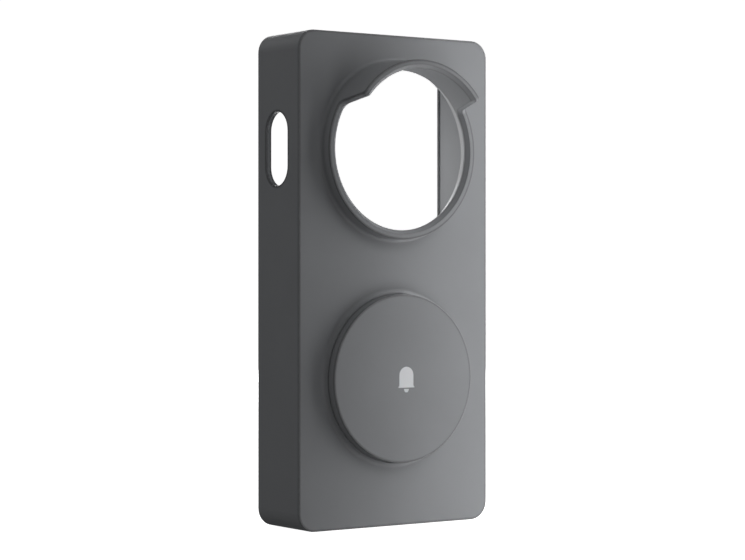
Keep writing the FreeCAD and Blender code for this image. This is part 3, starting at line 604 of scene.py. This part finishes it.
def chip_part_ends(material):
    """Tinned ends on the small resistors and capacitors, each with its solder fillet."""
    work = bmesh.new()
    skin = Vector((CAP_SKIN, CAP_SKIN, CAP_SKIN))
    for low, high in islands(nodes["chip_parts"].data):
        base_y = low.y
        for sign in (-1, 1):
            end_x = low.x if sign < 0 else high.x
            inner_x = end_x - sign * CAP_END
            first = Vector((min(end_x, inner_x), low.y + CAP_SKIN, low.z)) - skin
            second = Vector((max(end_x, inner_x), high.y, high.z)) + skin
            block(work, first, second, CAP_BEVEL)
            foot = Vector((end_x + sign * CAP_SKIN, base_y, (low.z + high.z) / 2))
            fillet(work, foot, Vector((sign, 0, 0)), high.z - low.z, SOLDER_REACH,
                   PART_SOLDER_RISE * (high.y - low.y))
    piece("chip_part_ends", work, material, "housing")


def chip_leads(material):
    """Soldered contacts round the four sides of the driver chip."""
    work = bmesh.new()
    low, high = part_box("driver_chip")
    middle = (low + high) / 2
    span = PAD_PITCH * (PADS_PER_SIDE - 1)
    for outward in (Vector((1, 0, 0)), Vector((-1, 0, 0)), Vector((0, 0, 1)), Vector((0, 0, -1))):
        along = outward.cross(Vector((0, 1, 0)))
        half = (high.x - low.x) / 2 if outward.x else (high.z - low.z) / 2
        for k in range(PADS_PER_SIDE):
            foot = Vector((middle.x, low.y, middle.z)) + outward * half
            foot += along * (k * PAD_PITCH - span / 2)
            fillet(work, foot, outward, PAD_WIDTH, SOLDER_REACH,
                   LEAD_SOLDER_RISE * (high.y - low.y))
    piece("chip_leads", work, material, "housing")


def board_plating(material):
    """Bare plated pads on the board's rear face: test pads, and a ring round each screw head."""
    work = bmesh.new()
    low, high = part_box("button_board")
    middle = (low + high) / 2
    for x, rise in TEST_PADS:
        centre = Vector((middle.x + x * MM, high.y, middle.z + rise * MM))
        turned_ring(work, centre, 0, TEST_PAD_R, PLATING)
    for screw_low, screw_high in islands(nodes["board_screws"].data):
        centre = (screw_low + screw_high) / 2
        centre.y = high.y
        turned_ring(work, centre, SCREW_RING_INNER, SCREW_RING_OUTER, PLATING)
    piece("board_plating", work, material, "housing")


# ---------------------------------------------------------------- studio
def light(name, place, aim, size, watts):
    """An area light that the camera doesn't see; size is its width and height."""
    data = bpy.data.lights.new(name, "AREA")
    data.shape = "RECTANGLE"
    data.size, data.size_y = size
    data.energy = watts
    lamp = bpy.data.objects.new(name, data)
    lamp.location = place
    lamp.rotation_euler = (aim - place).to_track_quat("-Z", "Y").to_euler()
    lamp.visible_camera = False
    bpy.context.collection.objects.link(lamp)


def white_stage(name, work):
    """A plain white surface that shows behind or under the object and lights nothing."""
    material = bpy.data.materials.new(name)
    material.use_nodes = True
    shader = material.node_tree.nodes["Principled BSDF"]
    shader.inputs["Base Color"].default_value = (0.8, 0.8, 0.8, 1)
    shader.inputs["Roughness"].default_value = 1.0
    shader.inputs["Emission Color"].default_value = (1, 1, 1, 1)
    shader.inputs["Emission Strength"].default_value = 1.0
    mesh = bpy.data.meshes.new(name)
    work.to_mesh(mesh)
    work.free()
    mesh.materials.append(material)
    made = bpy.data.objects.new(name, mesh)
    made.visible_diffuse = False
    made.visible_glossy = False
    made.visible_transmission = False
    made.visible_shadow = False
    bpy.context.collection.objects.link(made)


def lights():
    """The studio's lights, all aimed at the housing or through its camera opening."""
    for name, (x, y, watts) in STRIPS.items():
        place = Vector((x * MM, y * MM, STRIP_AIM.z))
        light(name, place, STRIP_AIM, STRIP_SIZE, watts)
    for name, (azimuth, elevation, watts) in FAR_LIGHTS.items():
        turn, rise = math.radians(azimuth), math.radians(elevation)
        away = Vector((math.sin(turn) * math.cos(rise), -math.cos(turn) * math.cos(rise),
                       math.sin(rise)))
        light(name, HOUSING_MIDDLE + away * FAR_DISTANCE, HOUSING_MIDDLE, FAR_SIZE, watts)
    for name, (x, y, z, width, watts) in REAR_LAMPS.items():
        light(name, Vector((x, y, z)) * MM, REAR_AIM, (width * MM, width * MM), watts)


def studio():
    """A white dome and floor that only the camera sees, and an even, weak white world."""
    dome = bmesh.new()
    bmesh.ops.create_icosphere(dome, subdivisions=4, radius=BACKDROP_RADIUS)
    white_stage("backdrop", dome)
    floor = bmesh.new()
    bmesh.ops.create_grid(floor, x_segments=1, y_segments=1, size=BACKDROP_RADIUS / 2,
                          matrix=Matrix.Translation((0, 0, -FLOOR_DROP)))
    white_stage("floor", floor)
    world = bpy.data.worlds.new("studio")
    world.use_nodes = True
    world.node_tree.nodes["Background"].inputs["Color"].default_value = (1, 1, 1, 1)
    world.node_tree.nodes["Background"].inputs["Strength"].default_value = WORLD_STRENGTH
    bpy.context.scene.world = world
    bpy.context.scene.view_settings.view_transform = "Standard"


def camera():
    """The camera, level and aimed at the middle of the view."""
    data = bpy.data.cameras.new("camera")
    data.sensor_width = CAMERA_SENSOR
    data.lens = CAMERA_LENS
    data.shift_y = CAMERA_SHIFT
    cam = bpy.data.objects.new("camera", data)
    turn = math.radians(CAMERA_AZIMUTH)
    ahead = Vector((math.sin(turn), math.cos(turn), 0))
    cam.location = CAMERA_AIM - ahead * CAMERA_DISTANCE
    cam.rotation_euler = ahead.to_track_quat("-Z", "Y").to_euler()
    bpy.context.collection.objects.link(cam)
    bpy.context.scene.camera = cam


looks = finishes()
dress(looks)
squash_soft_nodes()
chip_part_ends(looks["pin_metal"])
chip_leads(looks["pin_metal"])
board_plating(looks["insert_brass"])
lights()
studio()
camera()
